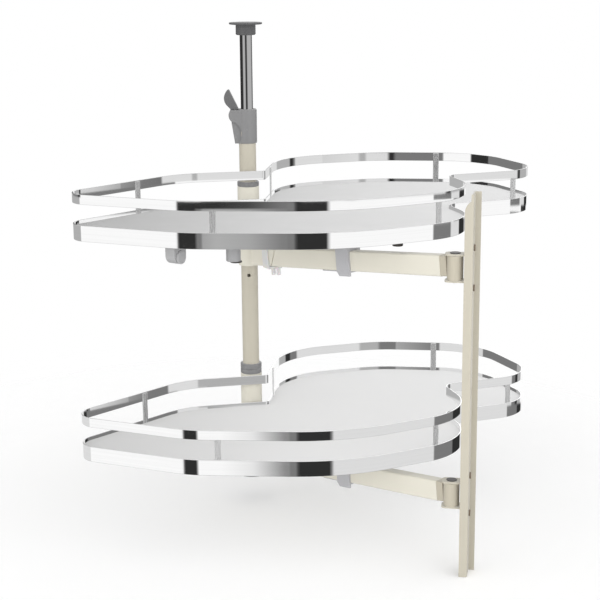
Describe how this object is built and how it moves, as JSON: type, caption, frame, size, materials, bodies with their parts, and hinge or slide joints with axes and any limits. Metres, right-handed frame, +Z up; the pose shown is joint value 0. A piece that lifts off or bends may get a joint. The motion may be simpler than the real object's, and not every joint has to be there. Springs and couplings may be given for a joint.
{
  "type": "blind corner pull-out organizer",
  "caption": "Kidney-shaped trays on arms that swing round a clamped telescopic post and carry a slotted door rail, for a blind corner cabinet.",
  "frame": {"origin": "centre of the post's floor plate on its underside, on the cabinet floor", "axes": "+Z up along the post, X along the door rail's flanges, -Y towards the user"},
  "size_m": [0.6692, 0.5654, 0.817],
  "materials": {
    "cream_coat": "satin cream powder coat",
    "chrome": "polished",
    "tray_board": "satin coated board, light grey-white",
    "grey_plastic": "satin grey moulding",
    "dark_plastic": "satin dark grey moulding",
    "milky_plastic": "milky, slightly translucent",
    "dark_steel": "blackened steel"
  },
  "bodies": {
    "post": {"post_foot": "grey_plastic", "post_tube": "cream_coat", "lock_collar": "grey_plastic", "lever_pin": "dark_steel", "upper_support_pin": "dark_steel", "lower_support_pin": "dark_steel", "lower_stop_ring": "grey_plastic"},
    "extension": {"inner_tube": "chrome", "inner_guide": "dark_plastic", "top_flange": "dark_plastic"},
    "lever": {"lock_lever": "grey_plastic"},
    "swing_unit": {"upper_sleeve": "cream_coat", "upper_top_bush": "grey_plastic", "upper_bottom_bush": "grey_plastic", "upper_arm_root": "cream_coat", "upper_arm": "cream_coat", "upper_knuckle": "cream_coat", "upper_arm_collar": "milky_plastic", "upper_clip": "milky_plastic", "upper_saddle": "grey_plastic", "upper_stem": "dark_steel", "upper_carrier": "cream_coat", "upper_screws": "dark_steel", "upper_board": "tray_board", "upper_band": "chrome", "upper_rail": "chrome", "upper_rail_posts": "chrome", "lower_sleeve": "cream_coat", "lower_top_bush": "grey_plastic", "lower_bottom_bush": "grey_plastic", "lower_arm_root": "cream_coat", "lower_arm": "cream_coat", "lower_knuckle": "cream_coat", "lower_arm_collar": "milky_plastic", "lower_clip": "milky_plastic", "lower_saddle": "grey_plastic", "lower_stem": "dark_steel", "lower_carrier": "cream_coat", "lower_screws": "dark_steel", "lower_board": "tray_board", "lower_band": "chrome", "lower_rail": "chrome", "lower_rail_posts": "chrome", "bumper": "grey_plastic", "bumper_bolt": "dark_steel", "tray_bolt": "dark_steel", "wheel_housing": "grey_plastic", "wheel_axle": "dark_steel"},
    "wheel": {"guide_wheel": "grey_plastic"},
    "door_carrier": {"door_rail": "cream_coat", "upper_bracket": "cream_coat", "upper_hinge_pin": "dark_steel", "upper_bracket_screws": "dark_steel", "lower_bracket": "cream_coat", "lower_hinge_pin": "dark_steel", "lower_bracket_screws": "dark_steel"}
  },
  "joints": [
    {"name": "post_extend", "type": "slide", "parent": "post", "child": "extension", "axis": [0, 0, 1], "range_m": [-0.098, 0.035]},
    {"name": "lever_turn", "type": "hinge", "parent": "post", "child": "lever", "pos_m": [-0.02061, -0.00401, 0.622], "axis": [0.1908, -0.9816, 0], "range_deg": [0, 95]},
    {"name": "swing", "type": "hinge", "parent": "post", "child": "swing_unit", "pos_m": [0, 0, 0], "axis": [0, 0, 1], "range_deg": [-45, 80]},
    {"name": "door_turn", "type": "hinge", "parent": "swing_unit", "child": "door_carrier", "pos_m": [0.369, -0.265, 0], "axis": [0, 0, 1], "range_deg": [-90, 85]},
    {"name": "wheel_spin", "type": "hinge", "parent": "swing_unit", "child": "wheel", "pos_m": [-0.05, -0.276, 0.4375], "axis": [0.9135, -0.4067, 0], "continuous": true}
  ]
}
